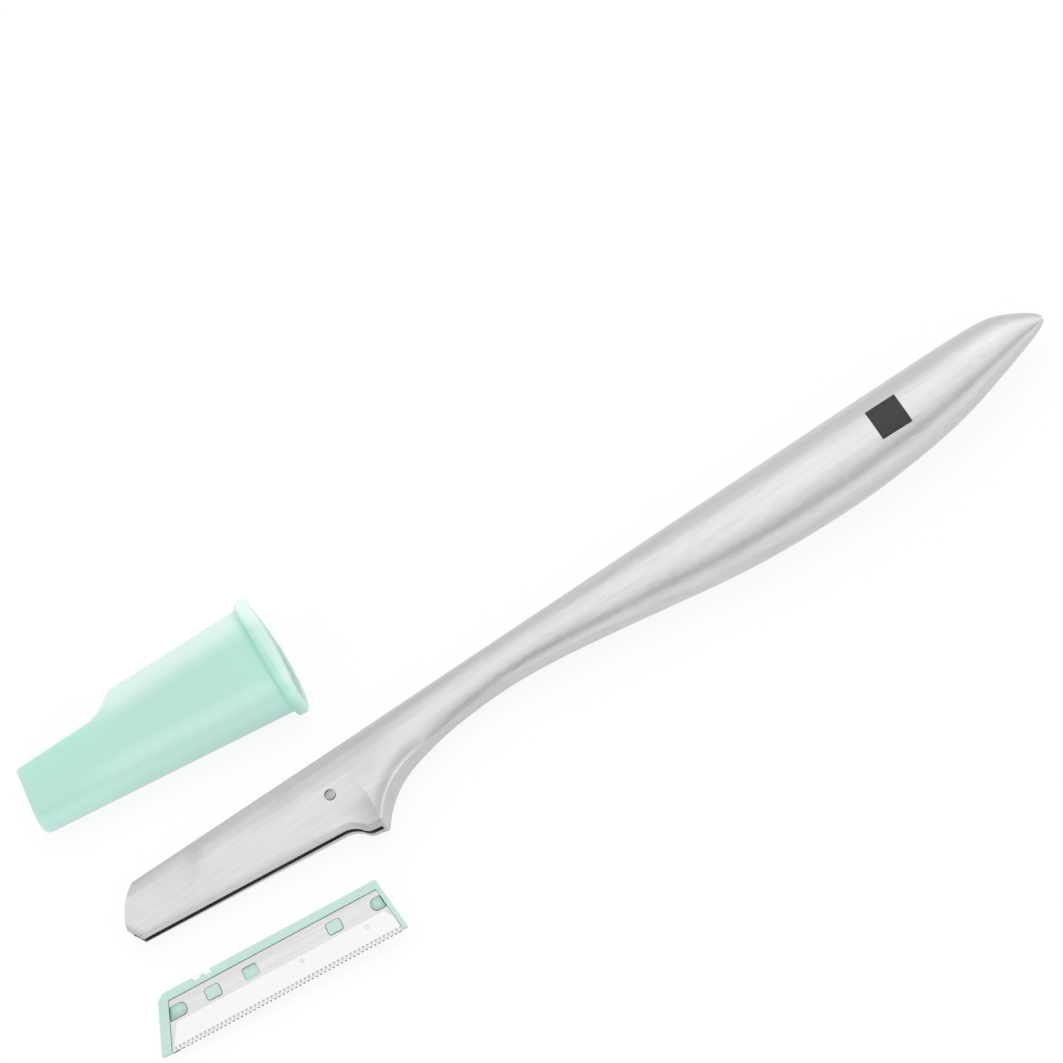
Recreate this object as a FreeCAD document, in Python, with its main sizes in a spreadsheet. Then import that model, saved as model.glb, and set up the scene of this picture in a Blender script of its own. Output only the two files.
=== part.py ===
"""Eyebrow razor with a loose blade cartridge and a soft cap, as a parametric document.

Every piece of the razor is drawn in one local frame: x along the blade slot from the tip
to the heel, y from the cutting edge towards the spine, z out of the front cheek, and the
mid-plane of the steel at z = 0. The placements at the end lay the pieces on the table.
"""
import FreeCAD, Part
import math
import os
import Sketcher
from FreeCAD import Placement, Rotation, Vector

doc = FreeCAD.newDocument("eyebrow_razor")
sheet = doc.addObject("Spreadsheet::Sheet", "sizes")

# Driving dimensions, in millimetres; names ending in share are plain ratios.
SIZES = [
    ("overrun", 6.0, "how far every cutting tool reaches past the material"),
    ("far_cut", 30.0, "depth of the cuts that pass right through"),
    # Head of the handle
    ("lip_drop", 4.0, "slot lips below the centre of the cheek"),
    ("cheek_half", 1.75, "half of the head's thickness at the centre of the cheek"),
    ("cheek_wedge_share", 0.02, "growth of the half thickness towards the spine"),
    ("roll", 5.0, "depth of the rounded back above the flat cheek"),
    ("grind_end", 17.4, "end of the flat cheek along the slot"),
    ("grind_wheel", 2.6, "run-out of the grinding wheel behind the flat cheek"),
    ("spine_rise_share", 0.1, "slope of the straight spine against the slot"),
    ("spine_height", 5.9, "spine above the centre of the cheek"),
    ("tip_reach", 19.05, "tip of the lips ahead of the cheek's centre"),
    ("tip_lean", 6.7, "how far the tip's curve falls back at its top"),
    ("tip_rise", 10.5, "height of the tip's curve, past the spine"),
    ("tip_radius", 13.6, "radius of the tip's curve"),
    ("jog_start", 13.4, "where the lips turn down towards the heel"),
    ("jog_turn", 50.0, "angle of the turn in degrees"),
    ("jog_radius_out", 3.4, "radius of the turn away from the lips"),
    ("jog_radius_in", 1.6, "radius of the turn back"),
    ("beak_reach", 18.85, "point of the heel behind the cheek's centre"),
    ("beak_dip", 0.12, "point of the heel below the end of the turn"),
    ("heel_radius", 12.3, "hollow of the neck behind the heel"),
    ("hollow_x", 26.0, "end of that hollow along the slot"),
    ("hollow_rise", 0.55, "end of that hollow above the cheek's centre"),
    ("neck_radius", 66.0, "long hollow under the neck"),
    ("neck_x", 48.0, "highest point under the neck"),
    ("neck_rise", 4.15, "height of that point"),
    ("belly_radius", 162.0, "run-out of the ground underside into the bulb"),
    ("belly_x", 72.0, "end of the ground underside"),
    ("belly_rise", 2.2, "height of that end"),
    ("lip_bevel", 0.45, "bevel along the outside of the lips"),
    # Blade slot and stop pin
    ("slot_width", 1.2, "width of the blade slot"),
    ("slot_tip", 18.5, "slot's end at the tip, on the lips"),
    ("slot_heel", 18.15, "slot's end at the heel, on the lips"),
    ("slot_depth", 4.75, "depth of the slot above the lips"),
    ("pin_x", 14.1, "stop pin along the slot"),
    ("pin_above_lip", 5.06, "stop pin above the lips"),
    ("pin_dia", 1.4, "diameter of the stop pin"),
    ("pin_dome", 0.16, "rise of the pin's rounded end"),
    ("pin_sink", 0.06, "pin's flat end below the rear cheek"),
    ("press_clear", 0.01, "room around the pressed pin"),
    ("pin_ring", 0.12, "width and depth of the ring sunk round the pin"),
    # Cartridge
    ("cart_length", 37.3, "length of the cartridge on its cutting side"),
    ("cart_height", 8.3, "height of the cartridge from spine to comb"),
    ("cart_tip_share", 0.367, "lean of the cartridge's tip end"),
    ("cart_heel_share", 0.14, "lean of the cartridge's heel end"),
    ("cart_thick", 1.0, "thickness of the holder's rims"),
    ("cart_clear", 0.06, "room between the cartridge's spine and the pin"),
    ("cart_out_x", 2.55, "way the cartridge lies towards the tip"),
    ("cart_out_y", 12.4, "way the cartridge lies out of the slot"),
    ("rim_spine", 1.25, "width of the holder's spine rim"),
    ("rim_tip", 1.5, "width of the holder's tip rim"),
    ("rim_heel", 0.65, "width of the holder's heel rim"),
    ("foot_tip", 3.0, "length of the holder's foot at the tip"),
    ("foot_heel", 1.5, "length of the holder's foot at the heel"),
    ("foot_lift", 0.35, "holder's feet above the comb's points"),
    ("plate_lift", 2.1, "holder's back plate above the comb's points"),
    ("corner_cut", 0.8, "cut corner between spine and tip end"),
    ("gate_x", 5.2, "moulding gate's recess from the tip end of the spine"),
    ("gate_length", 2.7, "length of the gate's recess"),
    ("gate_depth", 0.55, "depth of the gate's recess"),
    ("gate_stub", 0.7, "width of the gate's stub"),
    # Blade
    ("blade_thick", 0.26, "thickness of the blade"),
    ("blade_room", 0.06, "room around the blade in the holder"),
    ("blade_lift", 0.22, "blade's edge above the comb's points"),
    ("grind_height", 1.3, "height of the ground bevel"),
    ("grind_leave", 0.03, "thickness left on the edge"),
    ("window_width", 2.3, "length of a blade window"),
    ("window_height", 1.9, "height of a blade window"),
    ("window_drop", 3.15, "centre of the windows below the cartridge's spine"),
    ("window_one", 7.0, "first window from the tip end of the spine"),
    ("window_two", 12.7, "second window"),
    ("window_three", 25.4, "third window"),
    ("window_corner", 0.45, "corner radius of the windows"),
    ("stud_room", 0.12, "room between a stud and its window"),
    ("stud_proud", 0.12, "stud above the blade's face"),
    ("notch_width", 1.0, "depth of the blade's end notches"),
    ("notch_height", 1.7, "height of the blade's end notches"),
    # Comb guard
    ("guard_thick", 0.1, "thickness of the comb guard"),
    ("guard_height", 3.75, "height of the guard above the comb's points"),
    ("guard_lean", 2.2, "lean of the guard's end at the tip"),
    ("guard_chamfer", 1.2, "cut corner of the guard at the heel"),
    ("comb_pitch", 0.63, "pitch of the comb"),
    ("comb_gap", 0.34, "width of a gap in the comb"),
    ("comb_depth", 0.66, "depth of a gap in the comb"),
    ("comb_count", 54.0, "number of gaps in the comb"),
    ("comb_margin", 1.1, "first gap from the guard's tip end"),
    # Badge
    ("badge_x", 104.2, "centre of the plain inlay along the slot"),
    ("badge_above_lip", 14.3, "centre of the inlay above the lips"),
    ("badge_side", 4.7, "side of the square inlay"),
    ("badge_floor", 3.55, "floor of its recess above the mid-plane"),
    ("badge_clear", 0.02, "room around the inlay"),
    # Cap
    ("cap_wall", 0.55, "wall of the cap"),
    ("cap_clear", 0.1, "room between the cap and what it covers"),
    ("cap_end_wall", 0.9, "closed end of the cap"),
    ("cap_tip_room", 0.6, "room ahead of the tip inside the cap"),
    ("cap_length", 40.3, "length of the cap"),
    ("cap_thin", 5.2, "thickness of the cap at the closed end"),
    ("cap_thick", 6.9, "thickness of the cap at the mouth"),
    ("cap_round", 1.0, "rounding of the closed end"),
    ("end_face_share", 0.6, "part of that rounding taken off round the end face"),
    ("end_bend_share", 0.3, "part of that rounding where it bends"),
    ("end_draw_share", 0.18, "part of that rounding taken off at the bend"),
    ("notch_foot", 11.2, "foot of the step behind the open part, from the closed end"),
    ("notch_floor", 9.35, "wall left below the open part at the closed end"),
    ("notch_slope_share", 0.115, "slope of the open part's edge"),
    ("notch_step", 63.0, "slope of the step's upper end in degrees"),
    ("notch_round", 5.8, "hollow of that step"),
    ("cap_lean", 5.5, "lean of the mouth towards the closed end in degrees"),
    ("lip_long", 2.35, "length of the cap's lip in its middle"),
    ("lip_bow", 58.0, "radius of the lip's bowed end"),
    ("lip_out", 0.95, "how far the lip stands out"),
    ("lip_round", 0.5, "rounding of the lip"),
    ("lip_foot", 0.4, "hollow where the lip leaves the cap"),
    ("cap_lie_x", -23.1, "closed end of the cap on the table"),
    ("cap_lie_y", 16.2, "lower edge of the cap on the table"),
    ("cap_turn", -2.4, "turn of the cap on the table in degrees"),
    ("rest_sag", 0.09, "how far the bulb's round meets the table off its crest"),
]

# Sections of the handle: place along the slot, drop below the straight spine, depth, thickness.
# The head's sections get their thickness from the flat cheeks and the roll of the back.
SECTIONS = [
    ("tip", -22.0, 0.0, 13.0, None),
    ("fore", -14.0, 0.0, 14.2, None),
    ("face", -6.0, 0.0, 15.6, None),
    ("cheek", 2.0, 0.0, 17.2, None),
    ("flank", 9.0, 0.0, 19.0, None),
    ("heel", 14.0, 0.0, 20.8, None),
    ("crease", 18.5, 0.0, 22.6, 5.1),
    ("hollow", 22.5, 0.0, 15.0, 4.8),
    ("throat", 27.0, 0.0, 9.6, 4.55),
    ("hold", 33.0, 0.0, 7.45, 4.6),
    ("neck", 41.0, 0.0, 6.75, 4.95),
    ("waist", 49.0, 0.0, 7.15, 5.5),
    ("rise", 57.0, 0.0, 8.25, 6.15),
    ("swell", 65.0, 0.0, 9.5, 6.85),
    ("belly", 74.0, 0.0, 11.0, 7.75),
    ("fill", 84.0, 0.0, 12.05, 8.5),
    ("bulb", 95.0, 0.0, 12.35, 8.8),
    ("round", 104.0, 0.0, 11.85, 8.4),
    ("shoulder", 111.0, 0.0, 10.95, 7.7),
    ("taper", 117.0, 0.05, 9.5, 6.6),
    ("butt", 122.0, 0.4, 7.6, 5.2),
    ("crown", 125.5, 1.75, 5.1, 3.7),
    ("nose", 127.8, 3.15, 2.8, 2.1),
    ("end", 129.0, 4.3, 0.9, 0.7),
]

# Derived dimensions.
FORMULAS = [
    ("bulb_mid", "spine_height + spine_rise_share * sec_bulb_x - sec_bulb_depth / 2"),
    ("bulb_lean", "cheek_half + cheek_wedge_share * bulb_mid"),
    ("cheek_rise_share", "(sec_bulb_thick / 2 - rest_sag - bulb_lean) / sec_bulb_x"),
    ("cheek_end", "grind_end + grind_wheel"),
    ("cheek_under", "-cheek_half"),
    ("wheel_top", "cheek_half + grind_wheel"),
    ("wheel_low", "-wheel_top"),
    ("far_under", "-far_cut"),
    ("lip_y", "-lip_drop"),
    ("tip_x", "-tip_reach"),
    ("tip_top_x", "tip_x + tip_lean"),
    ("tip_top_y", "lip_y + tip_rise"),
    ("tool_left", "tip_x - overrun"),
    ("tool_right", "sec_end_x + overrun"),
    ("tool_low", "lip_y - 2 * overrun"),
    ("tool_high", "far_cut + overrun"),
    ("jog_mid_x", "jog_start + jog_radius_out * sin(jog_turn * 1 deg)"),
    ("jog_mid_y", "lip_y - jog_radius_out * (1 - cos(jog_turn * 1 deg))"),
    ("jog_end_x", "jog_mid_x + jog_radius_in * sin(jog_turn * 1 deg)"),
    ("jog_end_y", "jog_mid_y - jog_radius_in * (1 - cos(jog_turn * 1 deg))"),
    ("beak_y", "jog_end_y - beak_dip"),
    ("slot_low", "lip_y - overrun"),
    ("slot_floor", "lip_y + slot_depth"),
    ("slot_tip_low", "-slot_tip - cart_tip_share * overrun"),
    ("slot_tip_top", "-slot_tip + cart_tip_share * slot_depth"),
    ("slot_heel_low", "slot_heel + cart_heel_share * overrun"),
    ("slot_heel_top", "slot_heel - cart_heel_share * slot_depth"),
    ("pin_y", "lip_y + pin_above_lip"),
    ("pin_half", "cheek_half + cheek_rise_share * pin_x + cheek_wedge_share * pin_y"),
    ("pin_rear", "-(pin_half - pin_sink)"),
    ("pin_front", "pin_half - pin_sink / 2"),
    ("pin_top", "pin_front + pin_dome"),
    ("pin_radius", "pin_dia / 2"),
    ("pin_dome_radius", "(pin_radius ^ 2 + pin_dome ^ 2) / (2 * pin_dome)"),
    ("pin_hole", "pin_radius + press_clear"),
    ("pin_ring_radius", "pin_hole + pin_ring"),
    ("cart_top", "pin_y - pin_radius - cart_clear"),
    ("cart_low", "cart_top - cart_height"),
    ("cart_mid_room", "(slot_heel - slot_tip) / 2"),
    ("cart_lip_height", "lip_y - cart_low"),
    ("cart_skew", "(cart_tip_share - cart_heel_share) * cart_lip_height"),
    ("cart_tip_low", "cart_mid_room - (cart_length + cart_skew) / 2"),
    ("cart_heel_low", "cart_tip_low + cart_length"),
    ("foot_y", "cart_low + foot_lift"),
    ("plate_y", "cart_low + plate_lift"),
    ("cart_tip_foot", "cart_tip_low + cart_tip_share * foot_lift"),
    ("cart_tip_plate", "cart_tip_foot + foot_tip"),
    ("cart_heel_foot", "cart_heel_low - cart_heel_share * foot_lift"),
    ("cart_heel_plate", "cart_heel_foot - foot_heel"),
    ("cart_tip_top", "cart_tip_low + cart_tip_share * cart_height"),
    ("cart_heel_top", "cart_heel_low - cart_heel_share * cart_height"),
    ("cart_corner_x", "cart_tip_top + corner_cut"),
    ("cart_corner_y", "cart_top - corner_cut"),
    ("cart_corner_low", "cart_tip_top - cart_tip_share * corner_cut"),
    ("gate_left", "cart_tip_top + gate_x"),
    ("gate_right", "gate_left + gate_length"),
    ("gate_y", "cart_top - gate_depth"),
    ("gate_stub_left", "gate_left + (gate_length - gate_stub) / 2"),
    ("gate_stub_right", "gate_stub_left + gate_stub"),
    ("rim_y", "cart_top - rim_spine"),
    ("rim_tip_low", "cart_tip_foot + rim_tip"),
    ("rim_tip_top", "cart_tip_low + rim_tip + cart_tip_share * (cart_height - rim_spine)"),
    ("rim_heel_low", "cart_heel_foot - rim_heel"),
    ("rim_heel_top", "cart_heel_low - rim_heel - cart_heel_share * (cart_height - rim_spine)"),
    ("blade_top", "rim_y - blade_room"),
    ("blade_low", "cart_low + blade_lift"),
    ("blade_tip_top", "cart_tip_low + rim_tip + blade_room + cart_tip_share * (blade_top - cart_low)"),
    ("blade_tip_low", "cart_tip_low + rim_tip + blade_room + cart_tip_share * blade_lift"),
    ("blade_heel_top", "cart_heel_low - rim_heel - blade_room - cart_heel_share * (blade_top - cart_low)"),
    ("blade_heel_low", "cart_heel_low - rim_heel - blade_room - cart_heel_share * blade_lift"),
    ("grind_y", "blade_low + grind_height"),
    ("grind_past", "blade_low - overrun / 10"),
    ("grind_under", "-overrun / 10"),
    ("grind_rise", "blade_thick - grind_leave"),
    ("window_y", "cart_top - window_drop"),
    ("window_one_x", "cart_tip_top + window_one"),
    ("window_two_x", "cart_tip_top + window_two"),
    ("window_three_x", "cart_tip_top + window_three"),
    ("notch_low", "window_y - notch_height / 2"),
    ("notch_high", "window_y + notch_height / 2"),
    ("notch_tip_x", "blade_tip_top + notch_width"),
    ("notch_tip_far", "blade_tip_low - overrun"),
    ("notch_heel_x", "blade_heel_top - notch_width / 2"),
    ("notch_heel_far", "blade_heel_low + overrun"),
    ("stud_top", "blade_thick + stud_proud"),
    ("stud_width", "window_width - 2 * stud_room"),
    ("stud_height", "window_height - 2 * stud_room"),
    ("guard_top", "cart_low + guard_height"),
    ("guard_tip_low", "blade_tip_low + blade_room"),
    ("guard_tip_top", "guard_tip_low + guard_lean"),
    ("guard_heel_low", "blade_heel_low - blade_room"),
    ("guard_heel_side", "guard_heel_low - cart_heel_share * (guard_height - guard_chamfer)"),
    ("guard_heel_top", "guard_heel_low - guard_chamfer"),
    ("guard_heel_y", "guard_top - guard_chamfer"),
    ("gap_left", "guard_tip_low + comb_margin"),
    ("gap_right", "gap_left + comb_gap"),
    ("gap_low", "cart_low - overrun / 10"),
    ("gap_round", "comb_gap / 2"),
    ("gap_high", "cart_low + comb_depth - gap_round"),
    ("comb_span", "comb_pitch * (comb_count - 1)"),
    ("badge_y", "lip_y + badge_above_lip"),
    ("badge_half", "badge_side / 2"),
    ("badge_less", "-badge_half"),
    ("inlay_half", "badge_half - badge_clear"),
    ("inlay_less", "-inlay_half"),
    ("cap_seat_x", "tip_x - cap_tip_room - cap_end_wall"),
    ("cap_cover", "lip_drop + cart_lip_height + spine_height + spine_rise_share * cap_seat_x"),
    ("cap_deep_end", "cap_cover + 2 * (cap_clear + cap_wall)"),
    ("cap_deep_mouth", "cap_deep_end + spine_rise_share * cap_length"),
    ("notch_top", "cap_deep_mouth + overrun"),
    ("notch_past", "-overrun"),
    ("notch_past_y", "notch_floor - notch_slope_share * overrun"),
    ("notch_foot_y", "notch_floor + notch_slope_share * notch_foot"),
    ("notch_floor_turn", "atan(notch_slope_share) / 1 deg"),
    ("notch_bend_x", "notch_foot + notch_round * (sin(notch_step * 1 deg) - sin(notch_floor_turn * 1 deg))"),
    ("notch_bend_rise", "notch_round * (cos(notch_floor_turn * 1 deg) - cos(notch_step * 1 deg))"),
    ("notch_bend_y", "notch_foot_y + notch_bend_rise"),
    ("notch_top_x", "notch_bend_x + (notch_top - notch_bend_y) / tan(notch_step * 1 deg)"),
    ("lip_start", "cap_length - lip_long"),
    ("lip_half", "(cap_thin + (cap_thick - cap_thin) * lip_start / cap_length) / 2 + lip_out"),
    ("lip_back", "cap_deep_mouth * sin(cap_lean * 1 deg)"),
    ("bow_low", "-overrun"),
    ("bow_high", "cap_deep_mouth + overrun"),
    ("bow_half", "cap_deep_mouth / 2 + overrun"),
    ("bow_end", "lip_long - lip_bow + sqrt(lip_bow ^ 2 - bow_half ^ 2)"),
    ("bow_far", "lip_long + overrun"),
]


def put(row, alias, content, note=""):
    sheet.set("A%d" % row, alias)
    sheet.set("B%d" % row, content)
    sheet.set("C%d" % row, note)
    sheet.setAlias("B%d" % row, alias)


row = 1
for alias, number, note in SIZES:
    put(row, alias, "%g" % number, note)
    row += 1
for label, along, drop, depth, thick in SECTIONS:
    put(row, "sec_%s_x" % label, "%g" % along)
    put(row + 1, "sec_%s_drop" % label, "%g" % drop)
    put(row + 2, "sec_%s_depth" % label, "%g" % depth)
    row += 3
    if thick:
        put(row, "sec_%s_thick" % label, "%g" % thick)
        row += 1
for alias, formula in FORMULAS:
    put(row, alias, "=" + formula)
    row += 1
for label, along, drop, depth, thick in SECTIONS:
    if not thick:
        spine = "spine_height + spine_rise_share * sec_%s_x" % label
        half = "cheek_half + cheek_rise_share * sec_%s_x + cheek_wedge_share * (%s - roll)" % (label, spine)
        fall = "sqrt(1 - (1 - 2 * roll / sec_%s_depth) ^ 2)" % label
        put(row, "sec_%s_thick" % label, "=2 * (%s) / %s" % (half, fall))
        row += 1
doc.recompute()


def size(alias):
    return float(sheet.get(alias))


def cell(alias):
    return "sizes." + alias


def new_body(label):
    body = doc.addObject("PartDesign::Body", label)
    body.Label = label
    return body


def plane_of(body, role):
    return [item for item in body.Origin.OriginFeatures if item.Role == role][0]


def new_sketch(body, name, role="XY_Plane", height=None, offset=None):
    sketch = body.newObject("Sketcher::SketchObject", name)
    sketch.AttachmentSupport = (plane_of(body, role), [""])
    sketch.MapMode = "FlatFace"
    if height:
        sketch.setExpression("AttachmentOffset.Base.z", height)
    if offset:
        sketch.setExpression("AttachmentOffset", offset)
    return sketch


def bind(sketch, kind, *where):
    alias = where[-1]
    index = sketch.addConstraint(Sketcher.Constraint(kind, *where[:-1], size(alias)))
    sketch.setExpression("Constraints[%d]" % index, cell(alias))


def arc_between(start, end, radius, left):
    """Minor arc from start to end; left tells that its centre lies left of the way."""
    chord = end - start
    side = Vector(-chord.y, chord.x, 0).normalize() * (1 if left else -1)
    reach = math.sqrt(max(radius ** 2 - (chord.Length / 2) ** 2, 0))
    centre = (start + end) / 2 + side * reach
    first = math.atan2(start.y - centre.y, start.x - centre.x)
    last = math.atan2(end.y - centre.y, end.x - centre.x)
    circle = Part.Circle(centre, Vector(0, 0, 1), radius)
    return Part.ArcOfCircle(circle, first, last) if left else Part.ArcOfCircle(circle, last, first)


def draw_outline(sketch, corners, arcs=None):
    """Closed outline through corners given as pairs of cell names.

    arcs maps the number of a side to the cell of its radius and to "left" or "right",
    the side of the way on which the centre of the arc lies.
    """
    arcs = arcs or {}
    points = [Vector(size(a), size(b), 0) for a, b in corners]
    ends = []
    for number, start in enumerate(points):
        end = points[(number + 1) % len(points)]
        if number in arcs:
            radius, hand = arcs[number]
            geo = sketch.addGeometry(arc_between(start, end, size(radius), hand == "left"), False)
            ends.append((geo, 1, 2) if hand == "left" else (geo, 2, 1))
        else:
            geo = sketch.addGeometry(Part.LineSegment(start, end), False)
            ends.append((geo, 1, 2))
    for number, (geo, first, last) in enumerate(ends):
        after, after_first, after_last = ends[(number + 1) % len(ends)]
        sketch.addConstraint(Sketcher.Constraint("Coincident", geo, last, after, after_first))
        bind(sketch, "DistanceX", -1, 1, geo, first, corners[number][0])
        bind(sketch, "DistanceY", -1, 1, geo, first, corners[number][1])
        if number in arcs:
            bind(sketch, "Radius", geo, arcs[number][0])


def draw_circle(sketch, x, y, radius):
    circle = Part.Circle(Vector(size(x), size(y), 0), Vector(0, 0, 1), size(radius))
    geo = sketch.addGeometry(circle, False)
    bind(sketch, "DistanceX", -1, 1, geo, 3, x)
    bind(sketch, "DistanceY", -1, 1, geo, 3, y)
    bind(sketch, "Radius", geo, radius)


def pad(body, sketch, length, both=False):
    feature = body.newObject("PartDesign::Pad", "pad_" + sketch.Name)
    feature.Profile = sketch
    feature.setExpression("Length", length)
    if both:
        feature.SideType = "Symmetric"
    sketch.Visibility = False
    return feature


def pocket(body, sketch, length, both=False, outward=False):
    feature = body.newObject("PartDesign::Pocket", "cut_" + sketch.Name)
    feature.Profile = sketch
    feature.setExpression("Length", length)
    if both:
        feature.SideType = "Symmetric"
    feature.Reversed = outward
    sketch.Visibility = False
    return feature


# Handle: a loft through upright ellipses, each hung from the straight spine.
def hang_section(label):
    curve = doc.addObject("Part::Ellipse", "section_" + label)
    curve.Placement = Placement(Vector(), Rotation(Vector(1, 1, 1), 120))
    curve.setExpression("MajorRadius", cell("sec_%s_depth" % label) + " / 2")
    curve.setExpression("MinorRadius", cell("sec_%s_thick" % label) + " / 2")
    curve.setExpression("Placement.Base.x", cell("sec_%s_x" % label))
    spine = "sizes.spine_height + sizes.spine_rise_share * " + cell("sec_%s_x" % label)
    hang = " - %s - %s / 2" % (cell("sec_%s_drop" % label), cell("sec_%s_depth" % label))
    curve.setExpression("Placement.Base.y", spine + hang)
    return curve


blank = doc.addObject("Part::Loft", "handle_blank")
blank.Sections = [hang_section(entry[0]) for entry in SECTIONS]
blank.Solid = True
blank.Ruled = False
doc.recompute()

# Form that trims the blank: its outline is that of the tip, the lips, the heel and the
# ground underside of the neck; everywhere else it stands clear of the blank.
form = new_body("handle_form")
profile = new_sketch(form, "outline")
draw_outline(profile, [("tip_top_x", "tip_top_y"), ("tip_x", "lip_y"), ("jog_start", "lip_y"),
                       ("jog_mid_x", "jog_mid_y"), ("jog_end_x", "jog_end_y"), ("beak_reach", "beak_y"),
                       ("hollow_x", "hollow_rise"), ("neck_x", "neck_rise"), ("belly_x", "belly_rise"),
                       ("belly_x", "tool_low"), ("tool_right", "tool_low"), ("tool_right", "far_cut"),
                       ("tip_top_x", "far_cut")],
             {0: ("tip_radius", "left"), 2: ("jog_radius_out", "right"), 3: ("jog_radius_in", "left"),
              5: ("heel_radius", "right"), 6: ("neck_radius", "right"), 7: ("belly_radius", "right")})
pad(form, profile, cell("far_cut"), both=True)

# Ground cheeks: two planes that lean apart towards the bulb, so that each also touches it.
# Each ends in the run-out of the grinding wheel; the rim of that on the neck is the crease.
CHEEKS = [
    ("front_cheek", "cheek_half", "wheel_top", "far_cut", "left", ""),
    ("rear_cheek", "cheek_under", "wheel_low", "far_under", "right", "-"),
]
for name, level, rim, far, hand, sign in CHEEKS:
    rise = "rotationz(%satan(sizes.cheek_rise_share))" % sign
    wedge = "rotationx(%satan(sizes.cheek_wedge_share))" % sign
    leaned = "placement(vector(0; 0; 0); %s * %s)" % (rise, wedge)
    cheek = new_sketch(form, name, "XZ_Plane", offset=leaned)
    draw_outline(cheek, [("tool_left", level), ("grind_end", level), ("cheek_end", rim), ("cheek_end", far),
                         ("tool_left", far)], {1: ("grind_wheel", hand)})
    pocket(form, cheek, "2 * " + cell("far_cut"), both=True)
doc.recompute()


def cheek_level(point):
    """Half thickness between the cheek planes at a point."""
    along = size("cheek_rise_share") * point.x
    return size("cheek_half") + along + size("cheek_wedge_share") * point.y


# Bevel along the outside of both lips, from the tip to the turn of the heel.
def is_lip_edge(edge):
    middle = edge.valueAt((edge.FirstParameter + edge.LastParameter) / 2)
    on_lip = abs(middle.y - size("lip_y")) < size("press_clear")
    return on_lip and abs(abs(middle.z) - cheek_level(middle)) < size("press_clear")


bevel = form.newObject("PartDesign::Chamfer", "lip_bevels")
lips = ["Edge%d" % (n + 1) for n, edge in enumerate(form.Shape.Edges) if is_lip_edge(edge)]
bevel.Base = (bevel.BaseFeature, lips)
bevel.setExpression("Size", cell("lip_bevel"))
doc.recompute()

slot = new_sketch(form, "slot")
draw_outline(slot, [("slot_tip_low", "slot_low"), ("slot_heel_low", "slot_low"),
                    ("slot_heel_top", "slot_floor"), ("slot_tip_top", "slot_floor")])
pocket(form, slot, cell("slot_width"), both=True)

bore = new_sketch(form, "pin_bore")
draw_circle(bore, "pin_x", "pin_y", "pin_hole")
pocket(form, bore, cell("far_cut"), both=True)
front_lean = "rotationy(-atan(sizes.cheek_rise_share)) * rotationx(atan(sizes.cheek_wedge_share))"
sunk = "placement(vector(0; 0; sizes.cheek_half - sizes.pin_ring); %s)" % front_lean
sunk_ring = new_sketch(form, "pin_ring_cut", offset=sunk)
draw_circle(sunk_ring, "pin_x", "pin_y", "pin_ring_radius")
pocket(form, sunk_ring, cell("far_cut"), outward=True)

turn = "rotationz(atan(sizes.spine_rise_share))"
square = "placement(vector(sizes.badge_x; sizes.badge_y; sizes.badge_floor); %s)" % turn
recess = new_sketch(form, "badge_recess", offset=square)
draw_outline(recess, [("badge_less", "badge_less"), ("badge_half", "badge_less"),
                      ("badge_half", "badge_half"), ("badge_less", "badge_half")])
pocket(form, recess, cell("far_cut"), outward=True)
handle = doc.addObject("Part::Common", "handle")
handle.Base = blank
handle.Tool = form
handle.Label = "handle"
doc.recompute()

# Plain inlay: the piece of the same blank that the recess took out.
block = new_body("inlay_block")
seat = new_sketch(block, "inlay_seat", offset=square)
draw_outline(seat, [("inlay_less", "inlay_less"), ("inlay_half", "inlay_less"),
                    ("inlay_half", "inlay_half"), ("inlay_less", "inlay_half")])
pad(block, seat, cell("overrun"))
inlay = doc.addObject("Part::Common", "badge_inlay")
inlay.Base = blank
inlay.Tool = block
inlay.Label = "badge_inlay"
doc.recompute()

# Stop pin: turned, flat at the rear cheek and rounded in front.
pin = new_body("stop_pin")
turned = new_sketch(pin, "pin_half", "XZ_Plane")
axis = Vector(0, size("pin_rear"), 0)
rear = Vector(size("pin_radius"), size("pin_rear"), 0)
front = Vector(size("pin_radius"), size("pin_front"), 0)
top = Vector(0, size("pin_top"), 0)
sides = [Part.LineSegment(axis, rear), Part.LineSegment(rear, front),
         arc_between(front, top, size("pin_dome_radius"), True), Part.LineSegment(top, axis)]
for side in sides:
    turned.addGeometry(side, False)
for number in range(len(sides)):
    after = (number + 1) % len(sides)
    turned.addConstraint(Sketcher.Constraint("Coincident", number, 2, after, 1))
turned.addConstraint(Sketcher.Constraint("PointOnObject", 0, 1, -2))
turned.addConstraint(Sketcher.Constraint("PointOnObject", 3, 1, -2))
turned.addConstraint(Sketcher.Constraint("Horizontal", 0))
bind(turned, "DistanceY", -1, 1, 0, 1, "pin_rear")
bind(turned, "DistanceX", -1, 1, 1, 1, "pin_radius")
bind(turned, "DistanceX", -1, 1, 1, 2, "pin_radius")
bind(turned, "DistanceY", -1, 1, 1, 2, "pin_front")
bind(turned, "DistanceY", -1, 1, 3, 1, "pin_top")
bind(turned, "Radius", 2, "pin_dome_radius")
spun = pin.newObject("PartDesign::Revolution", "pin_turned")
spun.Profile = turned
spun.ReferenceAxis = (turned, ["V_Axis"])
spun.Angle = 360
doc.recompute()


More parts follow.
